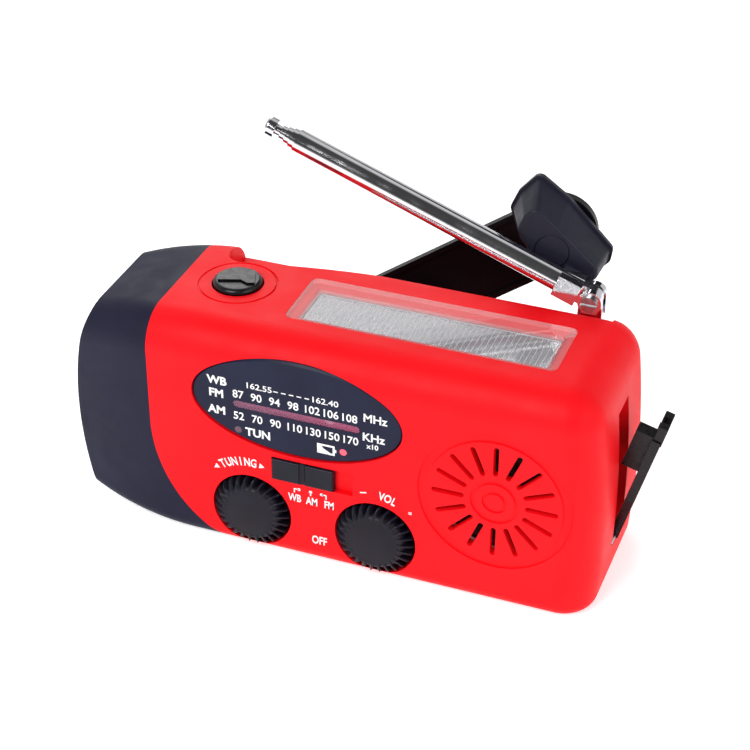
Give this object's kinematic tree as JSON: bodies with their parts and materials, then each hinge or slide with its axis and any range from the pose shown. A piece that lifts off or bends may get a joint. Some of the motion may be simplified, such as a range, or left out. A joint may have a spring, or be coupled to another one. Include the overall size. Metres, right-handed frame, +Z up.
{
  "type": "hand-crank emergency radio",
  "caption": "Pocket emergency radio with a hand crank, solar cell, torch head, telescopic aerial, dial, band switch and speaker.",
  "frame": {"origin": "middle of the flat base that the radio stands on", "axes": "+Z up, X along the body with the torch at -X and the tail at +X, -Y towards the dial side"},
  "size_m": [0.1436, 0.0643, 0.0953],
  "materials": {
    "red_abs": "soft-touch moulded",
    "black_abs": "fine moulded grain",
    "knob_abs": "moulded satin",
    "grip_abs": "fine moulded grain",
    "arm_gloss": "polished moulding",
    "black_slider": "moulded satin",
    "black_rubber": "moulded rubber",
    "dial_gloss": "satin face, polished bevel",
    "window_tint": "tinted clear strip",
    "pointer_white": "moulded",
    "lamp_red": "moulded resin",
    "clear_cover": "polished clear",
    "clear_lens": "polished clear",
    "solar_silicon": "coated silicon",
    "chromed_reflector": "vacuum metallised",
    "chrome_plate": "polished plate",
    "led_resin": "moulded resin",
    "steel": "plain",
    "brass_gear": "cut teeth",
    "white_nylon": "moulded",
    "black_nylon": "moulded",
    "circuit_board": "lacquered laminate",
    "paper_cone": "pressed paper, treated as light plastic",
    "ferrite": "sintered, treated as plastic",
    "copper_wire": "enamelled wire",
    "cell_wrap": "shrink wrap"
  },
  "bodies": {
    "case": {"front_shell": "red_abs", "rear_shell": "red_abs", "torch_head": "black_abs", "torch_lens": "clear_lens", "torch_reflector": "chromed_reflector", "torch_leds": "led_resin", "led_board": "circuit_board", "solar_cover": "clear_cover", "solar_cell": "solar_silicon", "torch_switch": "black_nylon", "switch_board": "circuit_board", "dial_plate": "dial_gloss", "dial_window": "window_tint", "indicator_lamps": "lamp_red", "pointer_guide": "white_nylon", "tuning_capacitor": "black_nylon", "volume_pot": "steel", "band_switch": "black_nylon", "main_board": "circuit_board", "board_chips": "black_nylon", "speaker_frame": "steel", "speaker_cone": "paper_cone", "speaker_magnet": "ferrite", "battery_cell": "cell_wrap", "battery_holder": "black_nylon", "ferrite_rod": "ferrite", "aerial_coil": "copper_wire", "gearbox_frame": "white_nylon", "generator": "steel", "usb_socket": "steel", "charge_socket": "steel", "port_board": "circuit_board", "flap_hinge_pin": "steel", "case_screws": "steel"},
    "torch_button": {"torch_button": "black_rubber"},
    "tuning_knob": {"tuning_knob": "knob_abs", "tuning_gear": "white_nylon"},
    "dial_pointer": {"dial_pointer": "pointer_white"},
    "volume_knob": {"volume_knob": "knob_abs", "volume_shaft": "steel"},
    "band_slider": {"band_slider": "black_slider"},
    "crank_hub": {"crank_hub": "arm_gloss", "crank_hinge_pin": "steel", "drive_gear": "white_nylon"},
    "crank_arm": {"crank_arm": "arm_gloss", "crank_pin": "steel"},
    "crank_grip": {"crank_grip": "grip_abs", "grip_cap": "grip_abs"},
    "compound_gear": {"compound_gear": "white_nylon"},
    "generator_rotor": {"generator_pinion": "brass_gear"},
    "aerial_base": {"aerial_base": "chrome_plate", "aerial_nut": "steel", "aerial_hinge_pin": "steel"},
    "aerial_mast": {"aerial_section_1": "chrome_plate"},
    "aerial_2": {"aerial_section_2": "chrome_plate"},
    "aerial_3": {"aerial_section_3": "chrome_plate"},
    "aerial_4": {"aerial_section_4": "chrome_plate"},
    "aerial_5": {"aerial_section_5": "chrome_plate", "aerial_tip": "chrome_plate"},
    "usb_flap": {"usb_flap": "black_rubber"}
  },
  "joints": [
    {"name": "torch_press", "type": "slide", "parent": "case", "child": "torch_button", "axis": [0, 0, -1], "range_m": [0, 0.0012], "stiffness_N_per_m": 600},
    {"name": "tuning", "type": "hinge", "parent": "case", "child": "tuning_knob", "pos_m": [-0.0232, -0.022, 0.0112], "axis": [0, 1, 0], "range_deg": [-163, 48]},
    {"name": "pointer_travel", "type": "slide", "parent": "case", "child": "dial_pointer", "axis": [1, 0, 0], "range_m": [-0.02277, 0.00671]},
    {"name": "volume", "type": "hinge", "parent": "case", "child": "volume_knob", "pos_m": [0.0085, -0.022, 0.0112], "axis": [0, 1, 0], "range_deg": [-150, 150]},
    {"name": "band_select", "type": "slide", "parent": "case", "child": "band_slider", "axis": [1, 0, 0], "range_m": [0, 0.0046]},
    {"name": "crank_spin", "type": "hinge", "parent": "case", "child": "crank_hub", "pos_m": [-0.022, 0.0225, 0.033], "axis": [0, 1, 0], "continuous": true},
    {"name": "gear_spin", "type": "hinge", "parent": "case", "child": "compound_gear", "pos_m": [-0.0014, 0.014, 0.0359], "axis": [0, 1, 0], "continuous": true},
    {"name": "generator_spin", "type": "hinge", "parent": "case", "child": "generator_rotor", "pos_m": [0.0162, 0.01, 0.0359], "axis": [0, 1, 0], "continuous": true},
    {"name": "crank_fold", "type": "hinge", "parent": "crank_hub", "child": "crank_arm", "pos_m": [-0.022, 0.026, 0.033], "axis": [-0.5446, 0, 0.8387], "range_deg": [0, 161]},
    {"name": "grip_spin", "type": "hinge", "parent": "crank_arm", "child": "crank_grip", "pos_m": [0.03342, 0.03706, 0.06899], "axis": [-0.1384, 0.9863, -0.0899], "continuous": true},
    {"name": "aerial_swivel", "type": "hinge", "parent": "case", "child": "aerial_base", "pos_m": [0.047, 0.019, 0.055], "axis": [0, 0, 1], "range_deg": [0, 180]},
    {"name": "aerial_lift", "type": "hinge", "parent": "aerial_base", "child": "aerial_mast", "pos_m": [0.047, 0.019, 0.0629], "axis": [0, 1, 0], "range_deg": [-24.4, 69.6]},
    {"name": "aerial_slide_2", "type": "slide", "parent": "aerial_mast", "child": "aerial_2", "axis": [-0.9373, 0, 0.3486], "range_m": [0, 0.06]},
    {"name": "aerial_slide_3", "type": "slide", "parent": "aerial_2", "child": "aerial_3", "axis": [-0.9373, 0, 0.3486], "range_m": [0, 0.06]},
    {"name": "aerial_slide_4", "type": "slide", "parent": "aerial_3", "child": "aerial_4", "axis": [-0.9373, 0, 0.3486], "range_m": [0, 0.06]},
    {"name": "aerial_slide_5", "type": "slide", "parent": "aerial_4", "child": "aerial_5", "axis": [-0.9373, 0, 0.3486], "range_m": [0, 0.06]},
    {"name": "flap_open", "type": "hinge", "parent": "case", "child": "usb_flap", "pos_m": [0.0614, -0.0007, 0.0124], "axis": [0, 1, 0], "range_deg": [-15.5, 100]}
  ],
  "couplings": [
    {"joint": "pointer_travel", "follows": "tuning", "m_per_rad": 0.008},
    {"joint": "gear_spin", "follows": "crank_spin", "ratio": -3.3333},
    {"joint": "generator_spin", "follows": "crank_spin", "ratio": 8.8889}
  ]
}
